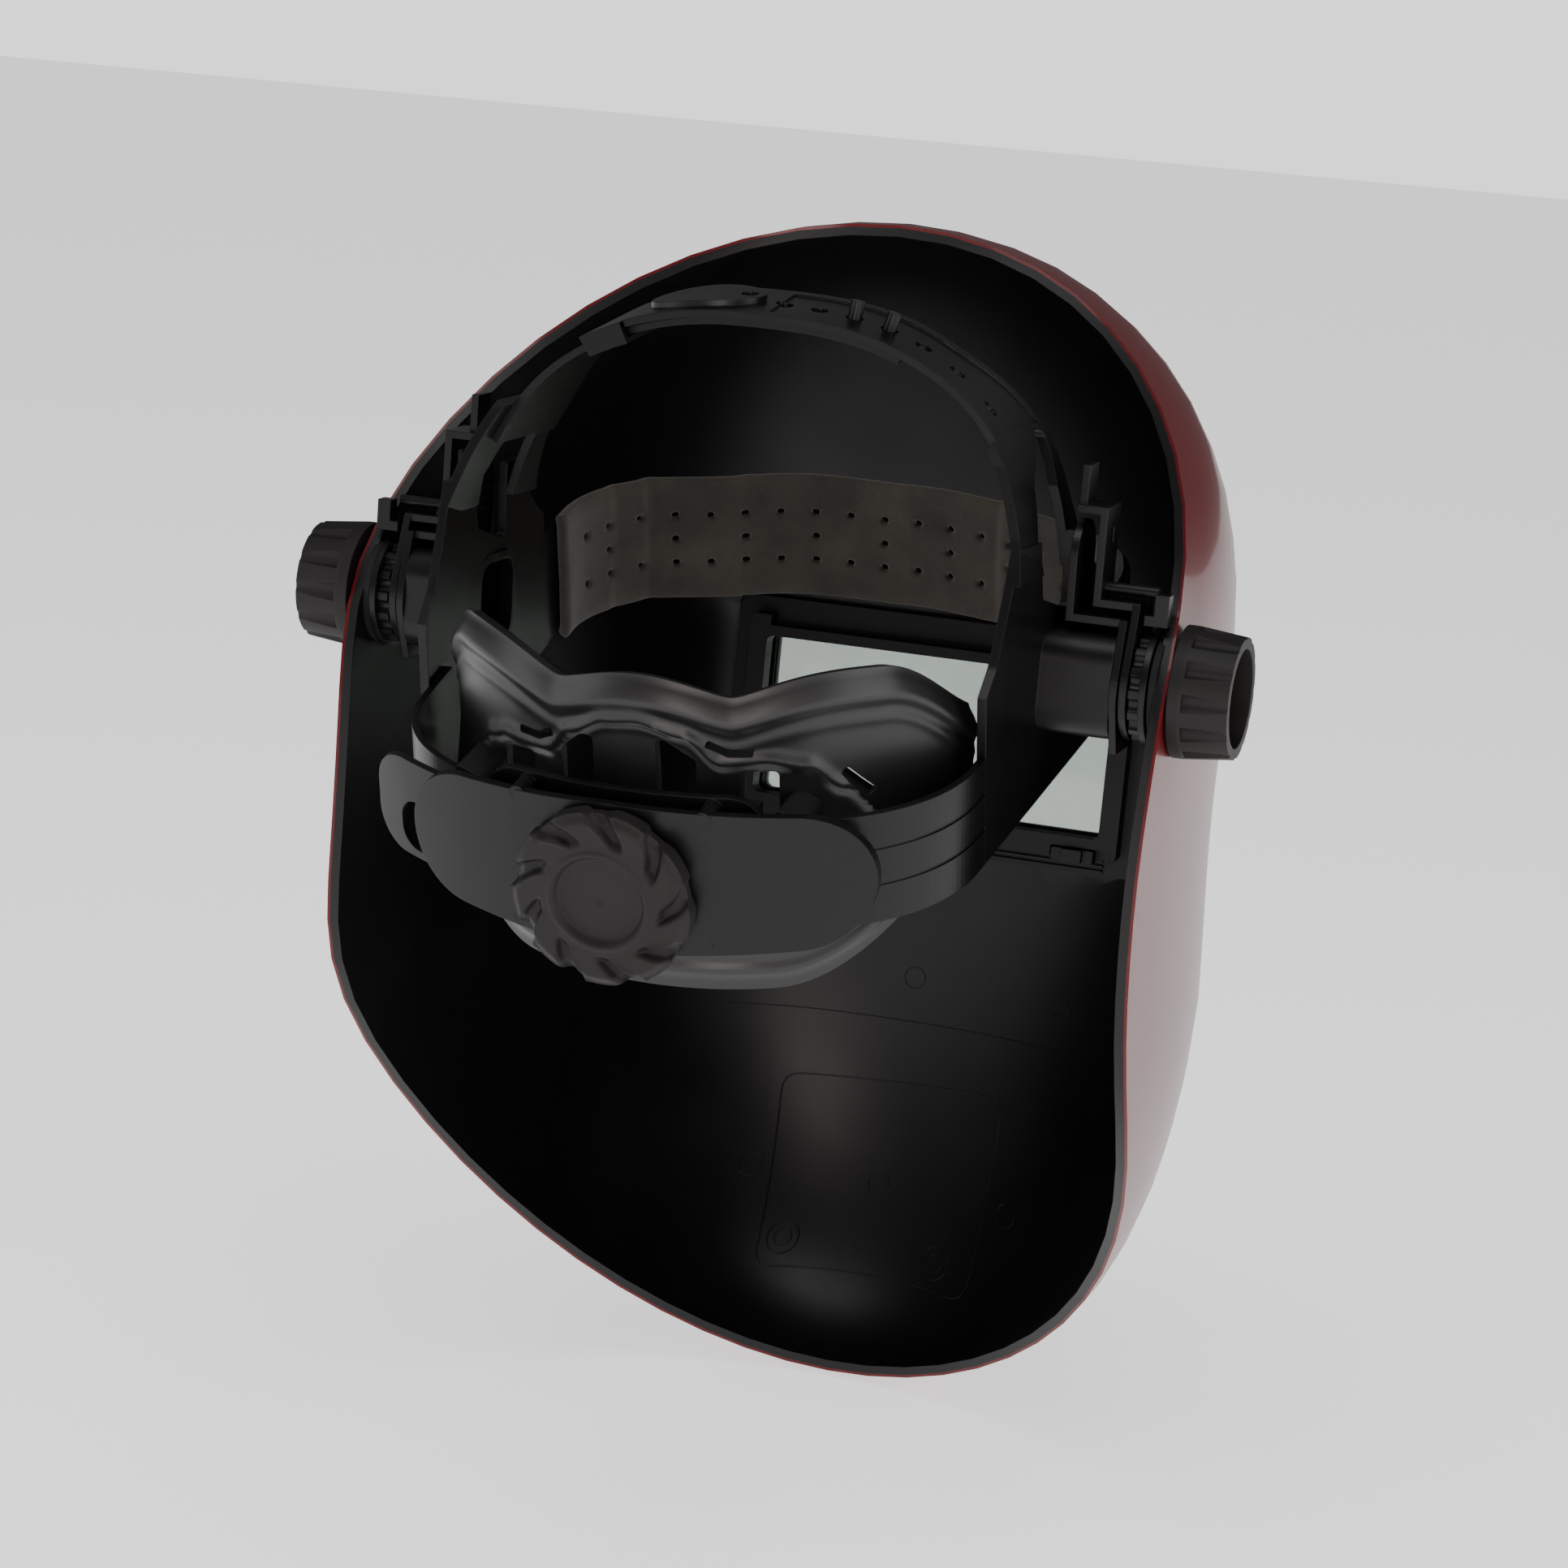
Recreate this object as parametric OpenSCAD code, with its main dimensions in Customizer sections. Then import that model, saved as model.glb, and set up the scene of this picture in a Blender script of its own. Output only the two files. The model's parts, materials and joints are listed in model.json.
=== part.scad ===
// Flip-up welding helmet on an adjustable headgear.
// The wearer faces -Y, the wearer's right hand is at -X, and +Z is up.
// The origin is the middle of the tilt axis, which runs along X through both temple pivots.
// Lengths are millimetres and angles are degrees.

/* [Shell] */
// Height of the shell from the chin rim to the crown rim
shell_h = 319; // [309:1:325]
// Width of the shell at the rim
shell_w = 209; // [209:1:213]
// Height of the crown rim above the tilt axis
crown_z = 96; // [90:1:98]
// Wall thickness of the shell
shell_t = 3; // [2.4:0.1:3.2]
// Distance of the side rim behind the tilt axis
rim_back = 20; // [18:1:24]
// Distance of the lens face ahead of the tilt axis
face_y = 166; // [160:1:172]
// Points round the rim of the shell
rim_points = 72; // [48:12:96]
// Rows of points from the lens opening to the rim
shell_rows = 13; // [9:1:16]

/* [Lens] */
// Width of the glass
lens_w = 108; // [104:0.5:110]
// Height of the glass
lens_h = 51; // [48:0.5:52]
// Height of the lens centre above the tilt axis
lens_z = -52; // [-58:1:-46]
// Forward lean of the top of the lens
lens_tilt = 4.6; // [0:0.2:8]
// Border of the window hidden behind the frame
lens_lip = 3.2; // [2.5:0.1:4]
// Sideways travel of the lens latch
latch_travel = 4; // [3:0.5:5]

/* [Headband] */
// Half width of the headband beside the hubs
band_half = 72.4; // [71.4:0.2:73]
// Reach of the headband ahead of the tilt axis
band_front = 103; // [98:1:106]
// Reach of the headband behind the tilt axis
band_rear = 100; // [98:1:102]
// Downward slope of the headband towards the nape
ring_tilt = 14.5; // [12:0.5:16]
// Height of the headband's middle at the hubs
ring_z = -13.5; // [-15:0.5:-12]
// Height of the crown strap above the tilt axis
strap_top = 82.5; // [81:0.5:85]
// Distance of the crown strap behind the tilt axis
strap_back = 17; // [14:1:18]
// Width of the crown strap
strap_w = 24; // [20:1:24]
// Height of the sweatband
sweat_h = 35; // [32:1:38]
// Thickness of the sweatband
sweat_t = 3.2; // [2:0.2:4]

/* [Temple pivots] */
// Diameter of the pivot bolt
bolt_d = 6; // [5:0.5:7]
// Diameter of the collar that carries the shell
collar_d = 11.84; // [11:0.02:11.9]
// Largest diameter of a tension knob
knob_d = 31.5; // [30:0.5:34]
// Distance of the tension knob's outer end from the middle plane
knob_end = 118; // [116:0.5:122]
// Flutes on a tension knob
knob_flutes = 12; // [8:1:16]
// Radius of the stop peg's circle
peg_r = 22.5; // [21:0.5:24]

/* [Nape ratchet] */
// Diameter of the ratchet knob
ratchet_d = 42.5; // [38:0.5:46]
// Height of the ratchet axis in the headband's frame
ratchet_z = -4; // [-5:0.5:-3]
// Half length of the ratchet cover
cover_half = 55; // [50:1:56]
// Notches round the ratchet knob
ratchet_notches = 9; // [7:1:11]
// Height of a rack
rack_h = 24; // [22:1:26]
// Radius of the pinion's tip circle
pinion_r = 5.1; // [5:0.1:5.3]

/* [Hidden] */
$fn = 64;

shell_black = "#1b1a1b";
nylon_black = "#2b2829";
knob_black = "#262424";
felt_brown = "#4a443c";
steel_grey = "#8d8f92";

// Shell outline
rim_mid_z = crown_z - shell_h / 2;
crown_y = -88;
chin_y = -104;
brow_z = 7;
cheek_z = -95;
crown_span = 60;
chin_span = 112;
opening_half_w = 57;
opening_half_h = 29;
opening_power = 10;
face_run = 0.55;
side_run = 0.62;
flank_swell = 1.015;
pad_x = 103.4;
pad_flat_r = 18;
pad_blend = 14;

// Stations along the tilt axis, measured from the middle plane
shell_in = pad_x - shell_t;
hub_out = 89.5;
hub_wall = 2.5;
index_x = hub_out;
index_t = 1.8;
lever_x = 91.7;
lever_t = 1.8;
ring_x = 93.9;
ring_t = 2.8;
washer_x = ring_x + ring_t;
washer_t = 1.6;
friction_t = 1.7;
knob_x = 103.8;
bolt_end = 111;

// Headband layers, as offsets from its outer outline
band_t = 1.8;
side_t = 2.2;
inner_out = -2.2;
inner_t = 1.6;
cover_in = 0.4;
cover_t = 2.2;
base_out = -4.2;
base_t = 2;
rear_r = 110;
arc_y = band_rear - rear_r;
side_y = -42;
strap_y = 44;
arch_half_w = 74;
arch_from = 52;
strap_z = 12;
pinion_teeth = 10;
pitch_r = 4.6;
tooth_step = 2 * 3.14159265 * pitch_r / pinion_teeth;

// ---------- shell surface ----------

function superellipse(a, power, half_w, half_h) =
    1 / pow(pow(abs(sin(a)) / half_w, power) + pow(abs(cos(a)) / half_h, power), 1 / power);

// Half an ellipse from the side of the rim at (y, z) over its apex at (apex_y, apex_z)
function arch_point(e, half_w, y, z, apex_y, apex_z) =
    [half_w * sin(e), y + (apex_y - y) * abs(cos(e)), z + (apex_z - z) * abs(cos(e))];

// The rim is an arch over the crown, an upright side and an arch under the chin
function rim_point(a) =
    let (b = a > 180 ? 360 - a : a, side = a > 180 ? -1 : 1,
         k = (b - crown_span) / (chin_span - crown_span),
         p = b < crown_span ? arch_point(90 * b / crown_span, shell_w / 2, rim_back - 4, brow_z, crown_y, crown_z)
           : b > chin_span ? arch_point(180 - 90 * (180 - b) / (180 - chin_span), shell_w / 2 - 1,
                                        rim_back, cheek_z, chin_y, crown_z - shell_h)
           : [shell_w / 2 - k - 2 * sin(180 * k), rim_back - 4 + 4 * k + 3 * sin(180 * k),
              brow_z + k * (cheek_z - brow_z)])
    [side * p.x, p.y, p.z];

function opening_point(a) =
    let (r = superellipse(a, opening_power, opening_half_w, opening_half_h), dz = r * cos(a))
    [r * sin(a), -face_y - dz * tan(lens_tilt), lens_z + dz];

function bezier(p, q, r, s, t) =
    pow(1 - t, 3) * p + 3 * t * pow(1 - t, 2) * q + 3 * t * t * (1 - t) * r + t * t * t * s;

function smooth(t) = let (u = min(1, max(0, t))) u * u * (3 - 2 * u);

// The wall is flat round each pivot, where the washers and the tension knob bear on it
function flatten(p) =
    let (k = smooth((norm([p.y, p.z]) - pad_flat_r) / pad_blend))
    [k * p.x + (1 - k) * sign(p.x) * pad_x, p.y, p.z];

function outer_point(a, t) =
    let (o = opening_point(a), r = rim_point(a),
         q = [o.x + face_run * (r.x - o.x), o.y - 2, o.z + face_run * (r.z - o.z)],
         s = [r.x * flank_swell, r.y - side_run * (r.y - o.y),
              rim_mid_z + (r.z - rim_mid_z) * flank_swell])
    flatten(bezier(o, q, s, r, t));

function unit(v) = v / norm(v);

function inner_point(a, t) =
    let (e = 0.01, t0 = min(t, 1 - e),
         along = outer_point(a, t0 + e) - outer_point(a, t0),
         round_rim = outer_point(a + 0.5, t) - outer_point(a - 0.5, t))
    outer_point(a, t) + shell_t * unit(cross(along, round_rim));

// Rows are closer together at the rim end of each rib
function row_t(i) = let (u = i / shell_rows) u * (1.25 - 0.25 * u);

module shell_wall() {
    outer = [for (i = [0 : shell_rows], j = [0 : rim_points - 1])
        outer_point(360 * j / rim_points, row_t(i))];
    inner = [for (i = [0 : shell_rows], j = [0 : rim_points - 1])
        inner_point(360 * j / rim_points, row_t(i))];
    half = (shell_rows + 1) * rim_points;
    last = shell_rows * rim_points;
    function next(j) = (j + 1) % rim_points;
    sides = [for (i = [0 : shell_rows - 1], j = [0 : rim_points - 1])
        let (a = i * rim_points + j, b = i * rim_points + next(j), c = b + rim_points, d = a + rim_points)
        each [[a, c, b], [a, d, c], [half + a, half + b, half + c], [half + a, half + c, half + d]]];
    ends = [for (j = [0 : rim_points - 1])
        let (a = j, b = next(j), c = last + j, d = last + next(j))
        each [[a, b, half + b], [a, half + b, half + a], [c, half + d, d], [c, half + c, half + d]]];
    polyhedron(points = concat(outer, inner), faces = concat(sides, ends), convexity = 6);
}

module shell() {
    color(shell_black)
    difference() {
        shell_wall();
        both_sides() along_x(shell_in - 4) cylinder(d = collar_d + 0.16, h = shell_t + 8);
        both_sides() along_x(shell_in - 5) cylinder(d = 30, h = 5);
        in_lens() lens_plate(shell_t, 24, 122.6, 66.6, 3.3);
        in_lens() lens_plate(-6, 24, 113.2, 57.2, 4.2);
    }
}

// ---------- helpers ----------

module both_sides() {
    children();
    mirror([1, 0, 0]) children();
}

// Builds a left-hand piece, or its mirror image for the wearer's right
module on_side(right) {
    if (right) mirror([1, 0, 0]) children();
    else children();
}

// Turns +Z into +X, starting at x
module along_x(x) {
    translate([x, 0, 0]) rotate([0, 90, 0]) children();
}

// Extrudes a YZ outline along X from x
module plate_x(x, t) {
    translate([x, 0, 0]) rotate([90, 0, 90]) linear_extrude(t) children();
}

module in_ring() {
    translate([0, 0, ring_z]) rotate([-ring_tilt, 0, 0]) children();
}

// Extrudes an XZ outline of the headband's frame along its Y
module plate_y(y, t) {
    translate([0, y + t, 0]) rotate([90, 0, 0]) linear_extrude(t) children();
}

module rounded(w, h, r) {
    offset(r = r) square([w - 2 * r, h - 2 * r], center = true);
}

// ---------- headband outline ----------

module head_plan(grow = 0) {
    temple_r = 34;
    nape_r = 42;
    offset(delta = grow, $fn = 96)
    hull() {
        intersection() {
            translate([0, rear_r - band_front]) circle(r = rear_r, $fn = 240);
            translate([-34, -130]) square([68, 60]);
        }
        both_sides() translate([band_half + 3.6 - temple_r, -57]) circle(r = temple_r, $fn = 120);
        both_sides() translate([band_half - 2.6 - nape_r, 46.5]) circle(r = nape_r, $fn = 144);
        intersection() {
            translate([0, arc_y]) circle(r = rear_r, $fn = 240);
            translate([-30, 60]) square([60, 60]);
        }
    }
}

module band_wall(inside, outside, z0, z1) {
    translate([0, 0, z0]) linear_extrude(z1 - z0)
    difference() {
        head_plan(outside);
        head_plan(inside);
    }
}

// A wall on the ratchet's arc, from offset inside to offset outside
module arc_wall(inside, outside, z0, z1) {
    translate([0, arc_y, z0])
    difference() {
        cylinder(r = rear_r + outside, h = z1 - z0, $fn = 360);
        translate([0, 0, -1]) cylinder(r = rear_r + inside, h = z1 - z0 + 2, $fn = 360);
    }
}

module cut_box(x0, x1, y0, y1, z0 = -60, z1 = 60) {
    translate([x0, y0, z0]) cube([x1 - x0, y1 - y0, z1 - z0]);
}

module front_band() {
    color(nylon_black)
    in_ring()
    intersection() {
        band_wall(-band_t, 0, -15, 15);
        cut_box(-100, 100, -130, side_y);
    }
}

module sweatband() {
    color(felt_brown)
    in_ring()
    intersection() {
        band_wall(-band_t - sweat_t, -band_t, -sweat_h / 2, sweat_h / 2);
        cut_box(-100, 100, -130, side_y - 8);
    }
}

// ---------- crown strap and side frames ----------

// The arch bulges more over the wearer's right, where the outer strap lies on top
function arch_power(t) = t > 0 ? 2.3 : 2.65;

// A point of the arch in the XZ plane, t degrees round from its top
function arch_at(t, g) =
    [(arch_half_w + g) * sign(t) * pow(abs(sin(t)), 2 / arch_power(t)),
     (strap_top + g) * pow(cos(t), 2 / arch_power(t))];

function arch_t(x) = sign(x) * asin(pow(abs(x) / arch_half_w, arch_power(x) / 2));

// The strap slopes down towards the back, and its front edge spreads into the side frames
function slope(z) = 0.15 * smooth((z - 58) / 22);
function strap_front(t, w) = strap_back - w / 2 - 18 * smooth((abs(t) - 28) / 28);

// A piece of the strap from t0 to t1, between offsets g0 and g1
module arch_strip(t0, t1, g0, g1, w) {
    steps = ceil((t1 - t0) / 3);
    points = [for (i = [0 : steps])
        let (t = t0 + (t1 - t0) * i / steps, y0 = strap_front(t, w), y1 = strap_back + w / 2)
        each [for (q = [[y0, g1], [y1, g1], [y1, g0], [y0, g0]])
            let (p = arch_at(t, q[1])) [p[0], q[0], p[1] + slope(p[1]) * (strap_back - q[0])]]];
    sides = [for (i = [0 : steps - 1], k = [0 : 3])
        let (a = 4 * i + k, b = 4 * i + (k + 1) % 4)
        each [[a, b, b + 4], [a, b + 4, a + 4]]];
    polyhedron(points = points, faces = concat(sides, [[0, 3, 2, 1], [for (k = [0 : 3]) 4 * steps + k]]),
               convexity = 4);
}

// The foot of the arch at the wearer's left, or with the right-hand bulge, as an XZ outline
module arch_foot(g0, g1, right) {
    ts = [for (t = [arch_from : 2 : 90]) right ? -t : t];
    outer = [for (t = ts) let (p = arch_at(t, g1)) [abs(p[0]), p[1]]];
    inner = [for (i = [len(ts) - 1 : -1 : 0]) let (p = arch_at(ts[i], g0)) [abs(p[0]), p[1]]];
    polygon(concat(inner, outer));
}

// Moves a child to the arch at x, standing on it
module on_arch(x, g) {
    t = arch_t(x);
    p = arch_at(t, g);
    d = arch_at(t + 0.5, g) - arch_at(t - 0.5, g);
    translate([p[0], strap_back, p[1]]) rotate([0, -atan2(d[1], d[0]), 0]) children();
}

// Side view of the arms that join the hub, the front band and the rear strap to the crown strap
module web_outline() {
    difference() {
        offset(r = 8) offset(delta = -8) offset(r = -5) offset(delta = 5)
        polygon([[-44, -8], [-44, 14], [-30, 20], [-19, 27], [-14, 40], [-12, 72], [30, 72], [32, 52],
                 [35, 36], [39, 22], [44, 8], [53, -3], [72, -12], [72, -30], [20, -30]]);
        offset(r = 2) offset(delta = -2)
        polygon([[-6, 15], [15, 20], [20, 34], [14, 46], [-4, 58], [-10, 56], [-5, 44], [-5, 28]]);
    }
}

module side_frame(right) {
    color(nylon_black)
    on_side(right)
    difference() {
        union() {
            in_ring()
            intersection() {
                band_wall(-side_t, 0, -15, strap_z);
                cut_box(40, 100, side_y, strap_y);
            }
            intersection() {
                in_ring() band_wall(-side_t, 0, 8, 60);
                in_ring() cut_box(50, 90, side_y, strap_y);
                plate_x(30, 60) web_outline();
                cut_box(50, 90, -60, 60, -40, 34);
            }
            intersection() {
                plate_y(-40, 80) arch_foot(-side_t, 0, right);
                plate_x(30, 60) web_outline();
                cut_box(30, 90, -60, 60, 26, 90);
                in_ring() cut_box(30, 90, side_y, strap_y, -20, 100);
            }
            plate_x(band_half - side_t, hub_out - band_half + side_t) rounded(25, 25, 7);
        }
        plate_x(band_half - side_t - 3, hub_out - hub_wall - band_half + side_t + 3) rounded(20.5, 20.5, 5);
        along_x(hub_out - 6) cylinder(d = bolt_d + 0.1, h = 12);
    }
}

module top_strap_right() {
    last = arch_t(31);
    color(nylon_black)
    difference() {
        union() {
            arch_strip(-arch_from, last, -band_t, 0, strap_w);
            intersection() {
                arch_strip(arch_t(-2), last, -1, 1.4, strap_w);
                translate([14, strap_back, 50]) scale([1, 0.62, 1]) cylinder(r = 14, h = 60);
            }
        }
        arch_strip(-arch_from + 1, arch_t(-4), -0.5, 1, strap_w - 5);
        for (i = [0 : 7])
            on_arch(4 - 8.7 * i, 0) translate([0, 0, -6]) cylinder(d = 4.2, h = 12);
    }
}

module top_strap_left() {
    color(nylon_black)
    union() {
        arch_strip(arch_t(-38), arch_from + 8, -2 * band_t - 0.4, -side_t - 0.02, strap_w - 5);
        for (i = [3 : 4])
            on_arch(4 - 8.7 * i, 0) translate([0, 0, -side_t - 1]) cylinder(d = 3.4, h = 6.8);
    }
}

// Loop at the end of the right strap that the left strap runs through
module strap_keeper() {
    color(nylon_black)
    difference() {
        arch_strip(arch_t(31.6), arch_t(41.4), -5.8, -0.2, strap_w + 2);
        arch_strip(arch_t(30), arch_t(43), -4.3, -1.8, strap_w - 2);
    }
}

// ---------- rear straps, racks and ratchet ----------

module rear_strap(right) {
    color(nylon_black)
    in_ring()
    on_side(right)
    if (right) intersection() {
        difference() {
            band_wall(-band_t, 0, -15, strap_z);
            for (z = [-6, 3]) band_wall(-0.35, 1, z, z + 0.8);
        }
        cut_box(40, 100, strap_y, 130);
    }
    else intersection() {
        band_wall(inner_out - inner_t, inner_out, -14, strap_z - 1);
        union() {
            cut_box(34, 100, strap_y, 130);
            cut_box(60, 100, strap_y - 12, 130);
        }
    }
}

// A slotted strip with teeth on the slot's upper edge (side 1) or its lower edge (side -1)
module rack_outline(x0, x1, side) {
    slot_h = 2 * pinion_r + 2;
    slot_x0 = x0 + 8;
    slot_x1 = x1 - 8;
    edge = ratchet_z + side * slot_h / 2;
    difference() {
        translate([(x0 + x1) / 2, 0]) rounded(x1 - x0, rack_h, 9);
        translate([(slot_x0 + slot_x1) / 2, ratchet_z]) rounded(slot_x1 - slot_x0, slot_h, 5);
    }
    first = ceil((slot_x0 + 5) / tooth_step);
    last = floor((slot_x1 - 5) / tooth_step);
    for (i = [first : last - 1])
        translate([(i + 0.5) * tooth_step, edge])
            rotate(side > 0 ? 0 : 180) polygon([[0.8, 1], [-0.8, 1], [-0.35, -2], [0.35, -2]]);
}

module rack_right() {
    color(nylon_black)
    in_ring()
    intersection() {
        arc_wall(-band_t, 0, -rack_h, rack_h);
        plate_y(60, 50) rack_outline(-26, 66, -1);
    }
}

module rack_left() {
    color(nylon_black)
    in_ring()
    intersection() {
        arc_wall(inner_out - inner_t, inner_out, -rack_h, rack_h);
        plate_y(60, 50) rack_outline(-31, 26, 1);
    }
}

module cover_outline() {
    hull() {
        translate([cover_half - 19, 0]) circle(r = 16);
        translate([-cover_half - 3 + 16.5, 0]) circle(r = 16.5);
        translate([0, -1]) circle(r = 18.5);
    }
}

module ratchet_cover() {
    boss_y = band_rear + cover_in + cover_t;
    color(nylon_black)
    in_ring()
    difference() {
        union() {
            intersection() {
                arc_wall(cover_in, cover_in + cover_t, -30, 30);
                plate_y(60, 50) cover_outline();
            }
            translate([0, 0, ratchet_z]) rotate([-90, 0, 0])
                translate([0, 0, boss_y - 2]) cylinder(d = 26, h = 2.4);
            for (x = [-22, 22], z = [-15.5, 15.5])
                translate([x, 95.8, z]) rotate([-90, 0, 0]) cylinder(d = 4, h = 4.5);
        }
        translate([0, 80, ratchet_z]) rotate([-90, 0, 0]) cylinder(r = pinion_r + 0.3, h = 40);
    }
}

module ratchet_base() {
    color(nylon_black)
    in_ring()
    difference() {
        union() {
            intersection() {
                arc_wall(base_out - base_t, base_out, -18, 18);
                plate_y(60, 50) rounded(66, 36, 8);
            }
            for (x = [-26, 26], z = [-9, 9])
                translate([x - 3, 80, z - 3]) cube([6, 11.5, 6]);
            for (x = [-22, 22], z = [-15.5, 15.5])
                translate([x, 92, z]) rotate([-90, 0, 0]) cylinder(d = 4, h = 3.8);
        }
        translate([0, 80, ratchet_z]) rotate([-90, 0, 0]) cylinder(d = 3.4, h = 40);
        translate([pad_shift, pad_y, -40]) cylinder(r = pad_r, h = 80, $fn = 180);
    }
}

module ratchet_knob() {
    y0 = band_rear + cover_in + cover_t + 0.7;
    color(knob_black)
    in_ring()
    translate([0, y0, ratchet_z]) rotate([-90, 0, 0])
    difference() {
        union() {
            cylinder(d = ratchet_d, h = 4);
            translate([0, 0, 4]) cylinder(d1 = ratchet_d - 0.01, d2 = ratchet_d - 6, h = 1.6);
        }
        translate([0, 0, -1]) cylinder(d = 29, h = 3.9);
        translate([0, 0, 4.4]) cylinder(d = 21, h = 4);
        translate([0, 0, -1]) cylinder(d = 3, h = 4.6);
        for (i = [0 : ratchet_notches - 1])
            rotate([0, 0, 360 * i / ratchet_notches])
            translate([ratchet_d / 2 + 0.4, 0, 1.6]) cylinder(d = 5, h = 8);
    }
}

module ratchet_pinion() {
    color(nylon_black)
    in_ring()
    translate([0, band_rear - 3.9, ratchet_z]) rotate([-90, 0, 0])
    linear_extrude(10.1)
    difference() {
        union() {
            circle(r = pinion_r - 1.6);
            for (i = [0 : pinion_teeth - 1]) rotate(90 + 360 * i / pinion_teeth)
                polygon([[2, -0.9], [pinion_r, -0.4], [pinion_r, 0.4], [2, 0.9]]);
        }
        circle(d = 3);
    }
}

module ratchet_screw() {
    color(steel_grey)
    in_ring()
    translate([0, 0, ratchet_z]) rotate([-90, 0, 0]) {
        translate([0, 0, 92.4]) cylinder(d = 3, h = 14.4);
        translate([0, 0, 91.2]) cylinder(d = 6, h = 2.2);
    }
}

// Leaf that clicks over the teeth inside the ratchet knob
module click_spring() {
    y0 = band_rear + cover_in + cover_t + 1;
    color(steel_grey)
    in_ring()
    translate([0, y0, ratchet_z]) rotate([-90, 0, 0])
    linear_extrude(2.6)
    difference() {
        circle(r = 12.4);
        circle(r = 11.6);
        translate([-15, 4]) square([30, 12]);
    }
}

// ---------- nape pad ----------

pad_r = 67.8;
pad_y = 17;
pad_shift = -0.8;
pad_t = 3.5;

function pad_top(x) = 35 + 5 * abs(cos(90 * x / 21.5)) - 20 * pow(max(0, abs(x) - 52) / 15.4, 2);
function pad_bottom(x) = -37 + 27 * pow(max(0, abs(x) - 30) / 35, 2);

module pad_outline() {
    half = 67.4;
    steps = 52;
    xs = [for (i = [0 : steps]) half * (2 * i / steps - 1)];
    polygon(concat([for (x = xs) [x, pad_top(x)]], [for (i = [steps : -1 : 0]) [xs[i], pad_bottom(xs[i])]]));
}

module nape_pad() {
    color(nylon_black)
    in_ring()
    intersection() {
        translate([pad_shift, pad_y, -40])
        difference() {
            cylinder(r = pad_r, h = 100, $fn = 180);
            translate([0, 0, -1]) cylinder(r = pad_r - pad_t, h = 102, $fn = 180);
        }
        plate_y(36, 60) translate([pad_shift, 0]) pad_outline();
    }
}

// ---------- temple pivots ----------

// Fixed plate on the hub, with a ribbed thumb tab stepped in towards the head
module index_plate(right) {
    tab_x = 76.2;
    shelf_z = 14.6;
    color(nylon_black)
    on_side(right)
    difference() {
        union() {
            plate_x(index_x, index_t) hull() {
                circle(r = 13.5);
                translate([0, 10]) square([18, 12.8], center = true);
                translate([0, -12]) square([16, 7], center = true);
            }
            translate([tab_x, -8, shelf_z]) cube([index_x + index_t - tab_x, 16, index_t]);
            plate_x(tab_x, index_t) hull() {
                translate([0, 29.5]) circle(r = 8.5);
                translate([0, 16]) square([16, 2.8], center = true);
            }
            for (i = [0 : 4]) translate([tab_x - 0.8, -5.5, 22 + 2.6 * i]) cube([0.8, 11, 1.2]);
        }
        along_x(index_x - 2) cylinder(d = bolt_d + 0.1, h = 6);
    }
}

// Lever with the stop peg, stepped in twice above the hub
module stop_lever(right) {
    mid_x = 82;
    tip_x = 76.4;
    shelf_z = 18.4;
    step_z = 40;
    color(nylon_black)
    on_side(right)
    difference() {
        union() {
            plate_x(lever_x, lever_t) hull() {
                circle(r = 13);
                translate([0, 16]) square([12, 8], center = true);
            }
            translate([mid_x, -6, shelf_z]) cube([lever_x + lever_t - mid_x, 12, lever_t]);
            translate([mid_x, -6, shelf_z]) cube([lever_t, 12, step_z - shelf_z + lever_t]);
            translate([tip_x, -6, step_z]) cube([mid_x + lever_t - tip_x, 12, lever_t]);
            translate([tip_x, -4, step_z]) cube([lever_t, 8, 11]);
            translate([0, 1, peg_r]) along_x(mid_x + 1) cylinder(d = 2.8, h = 96.6 - mid_x - 1, $fn = 32);
        }
        along_x(lever_x - 2) cylinder(d = bolt_d + 0.16, h = 6);
        translate([mid_x - 1, -1.5, 33]) cube([4, 3, 3.6]);
    }
}

// Notched ring with the collar that the shell turns on
module detent_ring(right) {
    color(nylon_black)
    on_side(right)
    difference() {
        union() {
            along_x(ring_x) cylinder(r = 13, h = ring_t);
            along_x(ring_x) cylinder(d = collar_d, h = knob_x - 0.3 - ring_x);
        }
        for (a = [-60 : 24 : 60])
            rotate([a, 0, 0]) translate([0, 13.6, 0]) along_x(ring_x - 1) cylinder(r = 1.9, h = ring_t + 2, $fn = 24);
        along_x(ring_x - 1) cylinder(d = bolt_d + 0.1, h = 14);
    }
}

module washer(x, t, outer_d, bore_d) {
    difference() {
        along_x(x) cylinder(d = outer_d, h = t);
        along_x(x - 1) cylinder(d = bore_d, h = t + 2);
    }
}

module spacer_washer(right) {
    color(nylon_black) on_side(right) washer(washer_x, washer_t, 28.5, collar_d + 0.1);
}

module friction_ring(right) {
    color(knob_black) on_side(right) washer(shell_in - friction_t, friction_t, 27, collar_d + 0.8);
}

module pivot_bolt(right) {
    color(steel_grey)
    on_side(right) {
        plate_x(hub_out - hub_wall - 3, 3) square(12, center = true);
        along_x(hub_out - hub_wall) cylinder(d = bolt_d, h = bolt_end - hub_out + hub_wall);
    }
}

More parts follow.
